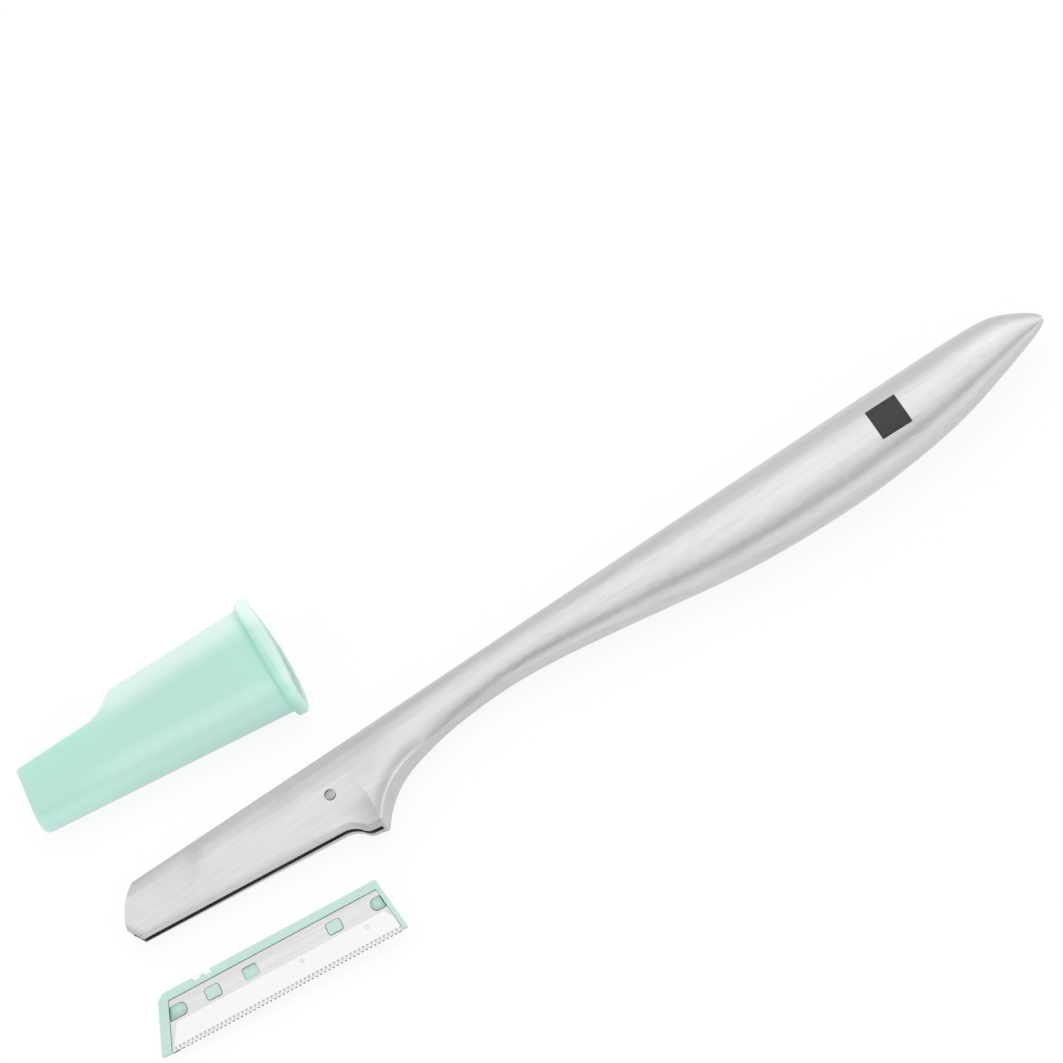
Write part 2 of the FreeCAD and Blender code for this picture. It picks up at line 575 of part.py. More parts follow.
def draw_window(sketch, x, wide, high):
    """Rectangle about a centre on the row of windows; all names are cells."""
    left, right = size(x) - size(wide) / 2, size(x) + size(wide) / 2
    low, up = size("window_y") - size(high) / 2, size("window_y") + size(high) / 2
    names = {"wide": "%s / 2" % cell(wide), "high": "%s / 2" % cell(high)}
    base = sketch.GeometryCount
    box = [Vector(left, low, 0), Vector(right, low, 0), Vector(right, up, 0), Vector(left, up, 0)]
    for number in range(4):
        sketch.addGeometry(Part.LineSegment(box[number], box[(number + 1) % 4]), False)
    for number in range(4):
        after = base + (number + 1) % 4
        sketch.addConstraint(Sketcher.Constraint("Coincident", base + number, 2, after, 1))
    for number, (sign_x, sign_y) in {0: ("-", "-"), 2: ("+", "+")}.items():
        at = sketch.Geometry[base + number].StartPoint
        index = sketch.addConstraint(Sketcher.Constraint("DistanceX", -1, 1, base + number, 1, at.x))
        sketch.setExpression("Constraints[%d]" % index, "%s %s %s" % (cell(x), sign_x, names["wide"]))
        index = sketch.addConstraint(Sketcher.Constraint("DistanceY", -1, 1, base + number, 1, at.y))
        upward = "%s %s %s" % (cell("window_y"), sign_y, names["high"])
        sketch.setExpression("Constraints[%d]" % index, upward)
    for number in range(4):
        kind = "Horizontal" if number % 2 == 0 else "Vertical"
        sketch.addConstraint(Sketcher.Constraint(kind, base + number))


def round_corners(body, name, wide, high, radius):
    """Round the upright edges of the row of windows or studs."""
    chosen = []
    for number, edge in enumerate(body.Shape.Edges):
        ends = [vertex.Point for vertex in edge.Vertexes]
        slant = (ends[0] - ends[-1]).cross(Vector(0, 0, 1)).Length
        upright = len(ends) == 2 and slant < size("press_clear")
        middle = edge.CenterOfMass
        off_row = abs(abs(middle.y - size("window_y")) - size(high) / 2)
        off_mid = min(abs(abs(middle.x - size(x)) - size(wide) / 2) for x in WINDOWS)
        if upright and max(off_row, off_mid) < size("press_clear"):
            chosen.append("Edge%d" % (number + 1))
    fillet = body.newObject("PartDesign::Fillet", name)
    fillet.Base = (fillet.BaseFeature, chosen)
    fillet.setExpression("Radius", radius)


WINDOWS = ("window_one_x", "window_two_x", "window_three_x")

# Blade holder: back plate, raised rims, studs and the moulding gate's recess.
holder = new_body("blade_holder")
plate = new_sketch(holder, "back_plate", height="-sizes.cart_thick / 2")
draw_outline(plate, [("cart_tip_foot", "foot_y"), ("cart_tip_plate", "foot_y"),
                     ("cart_tip_plate", "plate_y"), ("cart_heel_plate", "plate_y"),
                     ("cart_heel_plate", "foot_y"), ("cart_heel_foot", "foot_y"),
                     ("cart_heel_top", "cart_top"), ("gate_right", "cart_top"), ("gate_right", "gate_y"),
                     ("gate_stub_right", "gate_y"), ("gate_stub_right", "cart_top"),
                     ("gate_stub_left", "cart_top"), ("gate_stub_left", "gate_y"), ("gate_left", "gate_y"),
                     ("gate_left", "cart_top"), ("cart_corner_x", "cart_top"),
                     ("cart_corner_low", "cart_corner_y")])
pad(holder, plate, cell("cart_thick") + " / 2")
rims = new_sketch(holder, "rims")
draw_outline(rims, [("cart_tip_foot", "foot_y"), ("rim_tip_low", "foot_y"), ("rim_tip_top", "rim_y"),
                    ("rim_heel_top", "rim_y"), ("rim_heel_low", "foot_y"), ("cart_heel_foot", "foot_y"),
                    ("cart_heel_top", "cart_top"), ("gate_right", "cart_top"), ("gate_right", "gate_y"),
                    ("gate_left", "gate_y"), ("gate_left", "cart_top"), ("cart_corner_x", "cart_top"),
                    ("cart_corner_low", "cart_corner_y")])
pad(holder, rims, cell("cart_thick") + " / 2")
studs = new_sketch(holder, "studs")
draw_window(studs, "window_one_x", "stud_width", "stud_height")
draw_window(studs, "window_three_x", "stud_width", "stud_height")
pad(holder, studs, cell("stud_top"))
doc.recompute()
round_corners(holder, "stud_corners", "stud_width", "stud_height", "sizes.window_corner - sizes.stud_room")
doc.recompute()

# Blade: a flat strip with three windows, end notches and a ground edge.
blade = new_body("blade")
strip = new_sketch(blade, "strip")
draw_outline(strip, [("blade_tip_low", "blade_low"), ("blade_heel_low", "blade_low"),
                     ("blade_heel_top", "blade_top"), ("blade_tip_top", "blade_top")])
pad(blade, strip, cell("blade_thick"))
windows = new_sketch(blade, "windows")
for place in WINDOWS:
    draw_window(windows, place, "window_width", "window_height")
pocket(blade, windows, cell("far_cut"), both=True)
doc.recompute()
round_corners(blade, "window_corners", "window_width", "window_height", cell("window_corner"))
notches = new_sketch(blade, "notches")
draw_outline(notches, [("notch_tip_far", "notch_low"), ("notch_tip_x", "notch_low"),
                       ("notch_tip_x", "notch_high"), ("notch_tip_far", "notch_high")])
pocket(blade, notches, cell("far_cut"), both=True)
notch = new_sketch(blade, "heel_notch")
draw_outline(notch, [("notch_heel_x", "notch_low"), ("notch_heel_far", "notch_low"),
                     ("notch_heel_far", "notch_high"), ("notch_heel_x", "notch_high")])
pocket(blade, notch, cell("far_cut"), both=True)
grind = new_sketch(blade, "grind", "YZ_Plane")
draw_outline(grind, [("grind_past", "grind_under"), ("grind_y", "grind_under"), ("blade_low", "grind_rise"),
                     ("grind_past", "grind_rise")])
pocket(blade, grind, "2 * " + cell("far_cut"), both=True)
doc.recompute()

# Comb guard: a thin sheet on the blade with one gap repeated along its edge.
guard = new_body("comb_guard")
sheet_face = new_sketch(guard, "guard_face", height=cell("blade_thick"))
draw_outline(sheet_face, [("guard_tip_low", "cart_low"), ("guard_heel_low", "cart_low"),
                          ("guard_heel_side", "guard_heel_y"), ("guard_heel_top", "guard_top"),
                          ("guard_tip_top", "guard_top")])
pad(guard, sheet_face, cell("guard_thick"))
gap = new_sketch(guard, "comb_gap_one")
draw_outline(gap, [("gap_left", "gap_low"), ("gap_right", "gap_low"), ("gap_right", "gap_high"),
                   ("gap_left", "gap_high")], {2: ("gap_round", "left")})
gap_cut = pocket(guard, gap, cell("far_cut"), both=True)
comb = guard.newObject("PartDesign::LinearPattern", "comb")
comb.Originals = [gap_cut]
comb.Direction = (gap, ["H_Axis"])
comb.setExpression("Length", cell("comb_span"))
comb.setExpression("Occurrences", cell("comb_count"))
guard.Tip = comb
doc.recompute()

# Cap: a tapered soft tube, closed at the tip, open along its top ahead of the step.
cap = new_body("cap")


def ring(name, place, inset, lean="0 deg"):
    """Flat oval across the cap at a place, smaller all round by inset, its top leaned back."""
    stand = "placement(vector(0; 0; %s); rotationy(%s))" % (place, lean)
    sketch = new_sketch(cap, name, "YZ_Plane", offset=stand)
    share = "(%s) / sizes.cap_length" % place
    thick = "(sizes.cap_thin + (sizes.cap_thick - sizes.cap_thin) * %s)" % share
    radius = "%s / 2 - (%s)" % (thick, inset)
    deep = "(sizes.cap_deep_end + sizes.spine_rise_share * (%s))" % place
    low = "%s / 2" % thick
    high = "%s - %s / 2" % (deep, thick)
    rough_r = size("cap_thin") / 2
    rough_low = size("cap_thick") / 2
    rough_high = size("cap_cover")
    flat = Vector(0, 0, 1)
    under = Part.Circle(Vector(rough_low, 0, 0), flat, rough_r)
    over = Part.Circle(Vector(rough_high, 0, 0), flat, rough_r)
    rear = Part.LineSegment(Vector(rough_low, -rough_r, 0), Vector(rough_high, -rough_r, 0))
    front = Part.LineSegment(Vector(rough_high, rough_r, 0), Vector(rough_low, rough_r, 0))
    sketch.addGeometry(Part.ArcOfCircle(under, math.pi / 2, 3 * math.pi / 2), False)
    sketch.addGeometry(rear, False)
    sketch.addGeometry(Part.ArcOfCircle(over, -math.pi / 2, math.pi / 2), False)
    sketch.addGeometry(front, False)
    for number in range(4):
        sketch.addConstraint(Sketcher.Constraint("Tangent", number, 2, (number + 1) % 4, 1))
    sketch.addConstraint(Sketcher.Constraint("Equal", 0, 2))
    sketch.addConstraint(Sketcher.Constraint("PointOnObject", 0, 3, -1))
    sketch.addConstraint(Sketcher.Constraint("PointOnObject", 2, 3, -1))
    for geo, value, rough in ((0, low, rough_low), (2, high, rough_high)):
        index = sketch.addConstraint(Sketcher.Constraint("DistanceX", -1, 1, geo, 3, rough))
        sketch.setExpression("Constraints[%d]" % index, value)
    index = sketch.addConstraint(Sketcher.Constraint("Radius", 0, rough_r))
    sketch.setExpression("Constraints[%d]" % index, radius)
    sketch.Visibility = False
    return sketch


def loft(kind, name, rings):
    feature = cap.newObject("PartDesign::" + kind, name)
    feature.Profile = rings[0]
    feature.Sections = rings[1:]
    feature.Ruled = True
    return feature


leaned = "sizes.cap_lean * 1 deg"
end_draw = "sizes.cap_round * sizes.end_draw_share"
loft("AdditiveLoft", "tube", [ring("end_face", "0", "sizes.cap_round * sizes.end_face_share"),
                              ring("end_bend", "sizes.cap_round * sizes.end_bend_share", end_draw),
                              ring("end_side", cell("cap_round"), "0"),
                              ring("mouth", cell("lip_start"), "0", leaned)])
doc.recompute()

# Lip at the mouth: leaned back, bowed at its end and rounded on both sides.
pad(cap, ring("lip", cell("lip_start"), "-sizes.lip_out", leaned), cell("lip_long"))
across = "placement(vector(sizes.lip_start; 0; 0); rotationz(%s))" % leaned
bow = new_sketch(cap, "bow", offset=across)
draw_outline(bow, [("bow_end", "bow_low"), ("bow_end", "bow_high"), ("bow_far", "bow_high"),
                   ("bow_far", "bow_low")], {0: ("lip_bow", "left")})
pocket(cap, bow, cell("far_cut"), both=True)
doc.recompute()


def is_rim_edge(edge):
    """Tell an edge round the lip's outside from the short edges along it."""
    span = edge.BoundBox
    outside = abs(max(span.ZMax, -span.ZMin) - size("lip_half")) < size("press_clear")
    return outside and max(span.YLength, span.ZLength) > size("lip_long")


def is_foot_edge(edge):
    """Tell an edge where the tube meets the back of the lip."""
    turned = Rotation(Vector(0, 0, 1), -size("cap_lean"))
    spots = [turned.multVec(vertex.Point - Vector(size("lip_start"), 0, 0)) for vertex in edge.Vertexes]
    on_back = all(abs(spot.x) < size("press_clear") for spot in spots)
    return on_back and all(abs(spot.z) < size("lip_half") - size("lip_out") / 2 for spot in spots)


ROUNDS = [("lip_rounds", is_rim_edge, "lip_round"), ("lip_feet", is_foot_edge, "lip_foot")]
for name, chosen, radius in ROUNDS:
    soften = cap.newObject("PartDesign::Fillet", name)
    rims = ["Edge%d" % (n + 1) for n, edge in enumerate(soften.BaseFeature.Shape.Edges) if chosen(edge)]
    soften.Base = (soften.BaseFeature, rims)
    soften.setExpression("Radius", cell(radius))
    doc.recompute()

past_mouth = "sizes.cap_length + sizes.overrun"
loft("SubtractiveLoft", "cavity", [ring("cavity_end", cell("cap_end_wall"), cell("cap_wall")),
                                   ring("cavity_mouth", past_mouth, cell("cap_wall"))])

open_part = new_sketch(cap, "open_part")
draw_outline(open_part, [("notch_past", "notch_past_y"), ("notch_foot", "notch_foot_y"),
                         ("notch_bend_x", "notch_bend_y"), ("notch_top_x", "notch_top"),
                         ("notch_past", "notch_top")], {1: ("notch_round", "left")})
pocket(cap, open_part, cell("far_cut"), both=True)
doc.recompute()

# The razor lies on its rear cheek, the cartridge out of the slot in the same plane.
table = Vector(size("cheek_rise_share"), size("cheek_wedge_share"), 1).normalize()
lie = Rotation(table, Vector(0, 0, 1))
razor = Placement(lie.multVec(Vector(0, 0, size("cheek_half"))), lie)
out = Placement(Vector(-size("cart_out_x"), -size("cart_out_y"), 0), Rotation())
at_pin = Placement(Vector(size("pin_x"), size("pin_y"), 0), Rotation())
handle.Placement = razor
inlay.Placement = razor
pin.Placement = razor.multiply(at_pin)
for piece in (holder, blade, guard):
    piece.Placement = razor.multiply(out)

# The cap lies on its lip and on its closed end.
widen = (size("cap_thick") - size("cap_thin")) / size("cap_length")
end_half = (size("cap_thin") + widen * size("cap_round")) / 2
lip_on = size("lip_start") - size("lip_back") + size("lip_round")
tilt = math.atan((size("lip_half") - end_half) / (lip_on - size("cap_round")))
lift = end_half * math.cos(tilt) - size("cap_round") * math.sin(tilt)
turned_up = Rotation(Vector(0, 1, 0), -math.degrees(tilt))
rest = Rotation(Vector(0, 0, 1), size("cap_turn")).multiply(turned_up)
cap.Placement = Placement(Vector(size("cap_lie_x"), size("cap_lie_y"), lift), rest)
doc.recompute()

os.makedirs("parts", exist_ok=True)
for piece in (handle, inlay, pin, holder, blade, guard, cap):
    if "Invalid" in piece.State or "Error" in piece.State:
        raise RuntimeError("not built: " + piece.Label)
    if piece.Shape.isNull() or not piece.Shape.isValid():
        raise RuntimeError("no sound shape: " + piece.Label)
    piece.Shape.exportStep("parts/%s.step" % piece.Label)
    box = piece.Shape.BoundBox
    spans = (box.XMin, box.XMax, box.YMin, box.YMax, box.ZMin, box.ZMax)
    print(piece.Label, "%.1f mm3, spans" % piece.Shape.Volume, ["%.2f" % number for number in spans])
seatward = lie.multVec(Vector(size("cart_out_x"), size("cart_out_y"), 0))
print("cartridge travel", seatward.Length, "along", seatward.normalize())
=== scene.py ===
# %% [markdown]
# # An eyebrow razor, its cartridge and its cap
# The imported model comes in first, as a fixed frame: every piece lies where it was built, in metres.
# This lesson gives each surface its finish and lights the pieces like a product on white paper.
# Lengths on the pieces are written in millimetres; times MM they become Blender's metres. The paper
# and the lamp are far larger, and theirs are written in metres.

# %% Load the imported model
import math

import bmesh
import bpy
from mathutils import Matrix, Vector


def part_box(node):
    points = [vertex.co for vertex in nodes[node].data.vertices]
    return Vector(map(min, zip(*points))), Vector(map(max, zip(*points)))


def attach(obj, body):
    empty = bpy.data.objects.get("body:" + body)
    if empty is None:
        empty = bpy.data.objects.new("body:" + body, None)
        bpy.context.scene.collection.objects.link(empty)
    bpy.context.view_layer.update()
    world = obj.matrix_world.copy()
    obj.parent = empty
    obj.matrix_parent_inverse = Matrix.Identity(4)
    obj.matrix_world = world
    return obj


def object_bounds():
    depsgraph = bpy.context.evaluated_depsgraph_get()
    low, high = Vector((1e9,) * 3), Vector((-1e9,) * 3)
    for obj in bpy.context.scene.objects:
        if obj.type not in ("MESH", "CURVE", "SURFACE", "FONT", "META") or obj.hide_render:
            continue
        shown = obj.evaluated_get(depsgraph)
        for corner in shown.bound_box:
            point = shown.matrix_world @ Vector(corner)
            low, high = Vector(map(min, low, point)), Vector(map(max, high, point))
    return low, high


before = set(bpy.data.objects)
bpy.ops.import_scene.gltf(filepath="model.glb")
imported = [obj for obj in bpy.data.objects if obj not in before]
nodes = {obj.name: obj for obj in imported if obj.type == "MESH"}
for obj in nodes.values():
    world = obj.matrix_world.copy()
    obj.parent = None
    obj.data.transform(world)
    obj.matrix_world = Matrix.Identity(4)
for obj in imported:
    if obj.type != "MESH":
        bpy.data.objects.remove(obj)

cad_low, cad_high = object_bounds()
print("pieces:", sorted(nodes), "box:", cad_low[:], cad_high[:])

# %% [markdown]
# ## Camera
# The razor lies on a table and is seen from steeply above, past its cutting edge, with the picture
# turned so that the handle climbs to the upper right. A long lens keeps the perspective nearly flat.
# A camera could be dragged to its place by hand, but then nobody can read why it stands there. So its
# three axes are worked out from that angle and that turn, and its distance from the width of table
# that the picture takes in.

# %% Camera
MM = 0.001
ELEVATION = math.radians(65.0)
ROLL = math.radians(27.7)
PICTURE_WIDTH = 144.8 * MM
PICTURE_MIDDLE = Vector((54.4, 22.7, 2.0)) * MM
LENS = 200.0
SENSOR = 36.0

along = Vector((1.0, 0.0, 0.0))
rise = Vector((0.0, math.sin(ELEVATION), math.cos(ELEVATION)))
right = along * math.cos(ROLL) - rise * math.sin(ROLL)
up = along * math.sin(ROLL) + rise * math.cos(ROLL)
back = right.cross(up)

lens = bpy.data.cameras.new("camera")
lens.lens = LENS
lens.sensor_width = SENSOR
camera = bpy.data.objects.new("camera", lens)
bpy.context.scene.collection.objects.link(camera)
distance = PICTURE_WIDTH * LENS / SENSOR
place = PICTURE_MIDDLE + back * distance
camera.matrix_world = Matrix.Translation(place) @ Matrix((right, up, back)).transposed().to_4x4()
bpy.context.scene.camera = camera
print("camera stands %.0f mm from the middle of the picture" % (distance / MM))

# %% [markdown]
# ## Shader maths
# A finish is a small graph of nodes. It could be wired with one call for each node and each link,
# which is long and hard to read. Two helpers make it short. The first is a Wire: the output of a
# node, which can be added and multiplied like a number.

# %% Wire
class Wire:
    """The output of a node, with Python's own arithmetic."""

    def __init__(self, graph, socket):
        self.graph = graph
        self.socket = socket

    def math(self, operation, first, second):
        return self.graph.add("Math", {"operation": operation}, {0: first, 1: second})

    def __add__(self, other):
        return self.math("ADD", self, other)

    __radd__ = __add__

    def __sub__(self, other):
        return self.math("SUBTRACT", self, other)

    def __rsub__(self, other):
        return self.math("SUBTRACT", other, self)

    def __mul__(self, other):
        return self.math("MULTIPLY", self, other)

    __rmul__ = __mul__


# %% [markdown]
# The second is a Graph. It adds any node from its type, its settings and what goes into its sockets,
# so that every kind of node is made in the same way.

# %% Graph
def grey(level):
    return (level, level, level, 1.0)


class Graph:
    """The node tree of a material or of the world."""

    def __init__(self, tree):
        self.tree = tree

    def feed(self, socket, value):
        if isinstance(value, Wire):
            self.tree.links.new(value.socket, socket)
        else:
            socket.default_value = value

    def add(self, kind, settings=None, sockets=None, output=0):
        node = self.tree.nodes.new("ShaderNode" + kind)
        for name, value in (settings or {}).items():
            if name == "stops":
                self.set_stops(node.color_ramp, value)
            else:
                setattr(node, name, value)
        for name, value in (sockets or {}).items():
            self.feed(node.inputs[name], value)
        return Wire(self, node.outputs[output])

    def set_stops(self, ramp, stops):
        while len(ramp.elements) < len(stops):
            ramp.elements.new(1.0)
        for element, (position, level) in zip(ramp.elements, stops):
            element.position = position
            element.color = grey(level)

    def blend(self, factor, first, second):
        """Mix of two colours."""
        return self.add("Mix", {"data_type": "RGBA"}, {0: factor, 6: first, 7: second}, output=2)


# %% [markdown]
# A Finish is the graph of one material, with the few patterns that the razor's pieces share: noise, a
# bump, and a ramp along one of the object's own axes. Object coordinates are used throughout, because
# a pattern on them stays where it is when a piece slides.

# %% Finish of a piece
class Finish(Graph):
    """A material: its graph and its one surface shader."""

    def __init__(self, name, **constants):
        self.material = bpy.data.materials.new(name)
        self.material.use_nodes = True
        super().__init__(self.material.node_tree)
        self.surface = self.tree.nodes["Principled BSDF"]
        for socket, value in constants.items():
            self.feed(self.surface.inputs[socket.replace("_", " ")], value)
        self.place = self.add("TexCoord", output=3)

    def stretched(self, scale, turn=0.0):
        """Object coordinates, turned about the upright axis and then stretched."""
        turned = self.add("Mapping", {}, {"Vector": self.place, "Rotation": (0.0, 0.0, turn)})
        return self.add("Mapping", {}, {"Vector": turned, "Scale": scale})

    def noise(self, vector, scale, detail=2.0, roughness=0.5):
        return self.add("TexNoise", {}, {"Vector": vector, "Scale": scale, "Detail": detail,
                                         "Roughness": roughness})

    def bump(self, height, depth):
        return self.add("Bump", {}, {"Height": height, "Distance": depth, "Strength": 1.0})

    def axis(self, name):
        """One of the object coordinates."""
        split = self.add("SeparateXYZ", {}, {"Vector": self.place})
        return Wire(self, split.socket.node.outputs[name])

    def ramp(self, wire, start, end):
        """0 at start and 1 at end, smooth between; both in millimetres, and start may lie past end."""
        low, high = min(start, end), max(start, end)
        ends = (0.0, 1.0) if start < end else (1.0, 0.0)
        return self.add("MapRange", {"interpolation_type": "SMOOTHSTEP"},
                        {"Value": wire, "From Min": low * MM, "From Max": high * MM,
                         "To Min": ends[0], "To Max": ends[1]})

    def set(self, socket, value):
        self.feed(self.surface.inputs[socket], value)


def dress(node, finish):
    """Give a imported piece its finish."""
    mesh = nodes[node].data
    mesh.materials.clear()
    mesh.materials.append(finish.material)
    print("%s: %s" % (node, finish.material.name))


# %% [markdown]
# ## Brushed steel
# The handle is ground and then brushed along its length, which leaves long fine scratches. An
# anisotropic shader could smear the reflections, but it shows no single scratch. So the scratches are
# noise stretched far along the handle, used three times: as a faint change of brightness, as a change
# of roughness, and as a shallow bump that spreads the reflections across the scratches. The handle's
# tone is also painted a little darker from the bulb towards the head: painted shade for the dimmer
# light that the head reflects.

# %% Brushed steel
BRUSH_TURN = math.radians(-5.7)
FINE_SCRATCHES = (40.0, 5200.0, 5200.0)
BROAD_SCRATCHES = (14.0, 900.0, 900.0)
FINE_SHARE, BROAD_SHARE = 0.55, 0.45
CLOUD_SCALE = 45.0
CLOUD_ROUGHNESS, MARK_ROUGHNESS = 0.1, 0.08
PAINTED_SHADE_SPAN = (5.0, 85.0)


def brushed_steel(name, tone, roughness, streak, depth, turn=0.0, shaded_tip_share=1.0):
    """Steel with scratches along X, turned a little; streak is how much they change the tone, and the last
    argument is the share of the tone left at the head by a painted shade.
    """
    steel = Finish(name, Metallic=1.0)
    fine = steel.noise(steel.stretched(FINE_SCRATCHES, turn), scale=1.0, detail=3.0, roughness=0.6)
    broad = steel.noise(steel.stretched(BROAD_SCRATCHES, turn), scale=1.0)
    cloud = steel.noise(steel.place, CLOUD_SCALE)
    mark = FINE_SHARE * fine + BROAD_SHARE * broad
    # Painted shade: the tone falls from the bulb to the tip's share at the head.
    painted_tip_shade = shaded_tip_share + (1.0 - shaded_tip_share) * steel.ramp(steel.axis("X"), *PAINTED_SHADE_SPAN)
    steel.tone = (tone - streak + 2.0 * streak * mark) * painted_tip_shade
    steel.set("Base Color", steel.tone)
    steel.set("Roughness", roughness + CLOUD_ROUGHNESS * (cloud - 0.5) + MARK_ROUGHNESS * (mark - 0.5))
    steel.set("Normal", steel.bump(mark, depth))
    return steel


handle = brushed_steel("brushed_steel", tone=0.6, roughness=0.31, streak=0.16, depth=0.01 * MM,
                       turn=BRUSH_TURN, shaded_tip_share=0.915)
pin = brushed_steel("pin_steel", tone=0.36, roughness=0.12, streak=0.03, depth=0.002 * MM)
blade = brushed_steel("blade_steel", tone=0.56, roughness=0.28, streak=0.16, depth=0.004 * MM)
guard = brushed_steel("guard_steel", tone=0.69, roughness=0.3, streak=0.03, depth=0.002 * MM)
for node, steel in (("handle", handle), ("stop_pin", pin), ("blade", blade), ("comb_guard", guard)):
    dress(node, steel)

# %% [markdown]
# The comb is stamped, and its rounded edges lie in shade: a line along the points, and a thin
# outline round every gap. The edges could be bevelled, but they are about a tenth of a millimetre
# wide, and only their shade shows. So that shade is painted into the tone of the steel, from the
# distance to the middle of the nearest gap, which comes from the comb's pitch.

# %% Stamped comb
COMB_PITCH, COMB_GAP, COMB_DEPTH, COMB_MARGIN = 0.63, 0.34, 0.66, 1.1
LINE, POINT_LINE = 0.07, 0.175
OUTLINE_SHADE, POINT_SHADE = 0.32, 0.85
guard_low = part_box("comb_guard")[0]
comb_start = guard_low[0] / MM + COMB_MARGIN + COMB_GAP / 2 - COMB_PITCH / 2
turns = (guard.axis("X") - comb_start * MM) * (1.0 / (COMB_PITCH * MM))
inside = guard.add("Math", {"operation": "FRACT"}, {0: turns})
off_middle = guard.add("Math", {"operation": "ABSOLUTE"}, {0: inside - 0.5}) * (COMB_PITCH * MM)
height = guard.axis("Y") - guard_low[1]
outline_shade_beside = guard.ramp(off_middle, COMB_GAP / 2 + LINE, COMB_GAP / 2)
outline_shade_below = guard.ramp(height, COMB_DEPTH + 2 * LINE, COMB_DEPTH + LINE)
points = guard.ramp(height, POINT_LINE, LINE)
# Painted shade: dark outlines round the gaps and a dark line along the points.
guard.set("Base Color", guard.tone * (1.0 - OUTLINE_SHADE * outline_shade_beside * outline_shade_below) * (1.0 - POINT_SHADE * points))
print("comb starts at %.2f mm" % comb_start)

# %% [markdown]
# Two fine dark lines along the lips of the slot are painted shade at the edges of their bevel. The
# heel is painted darker in its hollow, up to the crease, as shade; and a dark band round the hollow of
# the neck is a painted reflection. The forms behind them are too shallow to be cut in the solid, so
# the shade is drawn in the tone. All are ramps across the steel, from where they lie on it; the
# band's is the distance from the hollow's arc.

# %% Painted shade on the lips, heel and neck
LIP_LINES = ((-3.42, 0.24), (-3.08, 0.12))
LINE_HALF = 0.1
LIPS_END = (13.0, 11.0)
HEEL_ALONG, HEEL_ACROSS, CREASE = (13.5, 17.8), (0.0, -3.5), (18.75, 18.45)
HEEL_SHADE = 0.2
HOLLOW_X, HOLLOW_Y, HOLLOW_RADIUS = 30.06, -11.06, 12.3
BAND_INNER, BAND_OUTER = (0.1, 0.6), (2.3, 0.6)
BAND_START, BAND_END = (18.4, 18.8), (30.0, 25.0)
BAND_SHADE = 0.3

along_x, along_y = handle.axis("X"), handle.axis("Y")
on_lips = handle.ramp(along_x, *LIPS_END)
# Painted shade: two dark lines along the edges of the lips' bevel.
lip_line_shade = 0.0
for spot, share in LIP_LINES:
    stripe = handle.ramp(along_y, spot - LINE_HALF, spot) * handle.ramp(along_y, spot + LINE_HALF, spot)
    lip_line_shade = lip_line_shade + share * stripe * on_lips
# Painted shade: the heel is darker in its hollow, up to the crease.
heel = (handle.ramp(along_x, *HEEL_ALONG) * handle.ramp(along_x, *CREASE)
        * handle.ramp(along_y, *HEEL_ACROSS))

# Painted reflection: a dark band round the hollow of the neck.
from_x = along_x - HOLLOW_X * MM
from_y = along_y - HOLLOW_Y * MM
to_middle = handle.add("Math", {"operation": "SQRT"}, {0: from_x * from_x + from_y * from_y})
off_hollow = to_middle - HOLLOW_RADIUS * MM
neck_band_shade = (handle.ramp(off_hollow, *BAND_INNER) * handle.ramp(off_hollow, *BAND_OUTER)
        * handle.ramp(along_x, *BAND_START) * handle.ramp(along_x, *BAND_END))
# The painted shades and the painted reflection darken the handle's tone together.
painted_shade = (1.0 - lip_line_shade) * (1.0 - HEEL_SHADE * heel) * (1.0 - BAND_SHADE * neck_band_shade)
handle.set("Base Color", handle.tone * painted_shade)
print("lines on the lips:", len(LIP_LINES))

# %% [markdown]
# The flat cheek runs out into the rounded back of the head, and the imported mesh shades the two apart.
# A new mesh could cure that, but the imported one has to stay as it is. So three modifiers join its
# triangles, keep the real edges and even out the shading between the rest. The cap is hidden from
# mirror rays, which keeps its green out of the steel.

# %% Even shading
EDGE_ANGLE = math.radians(16.0)
JOIN_WITHIN = 0.002 * MM
LARGE_FACES_FIRST = 60
EVEN_OUT = (("WELD", "join", {"merge_threshold": JOIN_WITHIN}),
            ("EDGE_SPLIT", "keep_edges", {"split_angle": EDGE_ANGLE}),
            ("WEIGHTED_NORMAL", "even_out", {"weight": LARGE_FACES_FIRST}))
for kind, name, settings in EVEN_OUT:
    step = nodes["handle"].modifiers.new(name, kind)
    for setting, value in settings.items():
        setattr(step, setting, value)
nodes["cap"].visible_glossy = False
print("shading steps:", [step.name for step in nodes["handle"].modifiers])

# %% [markdown]
# ## Plain inlay
# The small square let into the bulb is dark enamel, level with the steel. One flat black would look
# like a hole, so fine noise varies its tone and its roughness a little.

# %% Enamel inlay
ENAMEL_DEEP, ENAMEL_LIGHT = grey(0.006), grey(0.016)
ENAMEL_ROUGHNESS, SPECK_ROUGHNESS = 0.24, 0.12
SPECK_SCALE = 900.0
enamel = Finish("dark_enamel")
speck = enamel.noise(enamel.place, SPECK_SCALE)
enamel.set("Base Color", enamel.blend(speck, ENAMEL_DEEP, ENAMEL_LIGHT))
enamel.set("Roughness", ENAMEL_ROUGHNESS + SPECK_ROUGHNESS * speck)
dress("badge_inlay", enamel)

# %% [markdown]
# ## Mint plastics
# The cartridge's frame and the cap are moulded in a pale mint. A plain colour would look like chalk,
# because light goes a little way into such plastic. So both get some subsurface scattering, and the
# softer, thinner cap gets more of it. A faint cloud in the colour and a fine grain break the surface.

# %% Mint plastics
CAP_MINT = (0.455, 0.715, 0.62)
HOLDER_MINT = (0.52, 0.72, 0.65)
MINT_LIGHTER, MINT_DEEPER = 1.05, 0.95
MINT_CLOUD, MINT_GRAIN = 70.0, 2600.0
GRAIN_DEPTH, GRAIN_ROUGHNESS = 0.003 * MM, 0.1
LIGHT_REACH = (0.8, 1.0, 0.95)
PLASTIC_IOR = 1.46


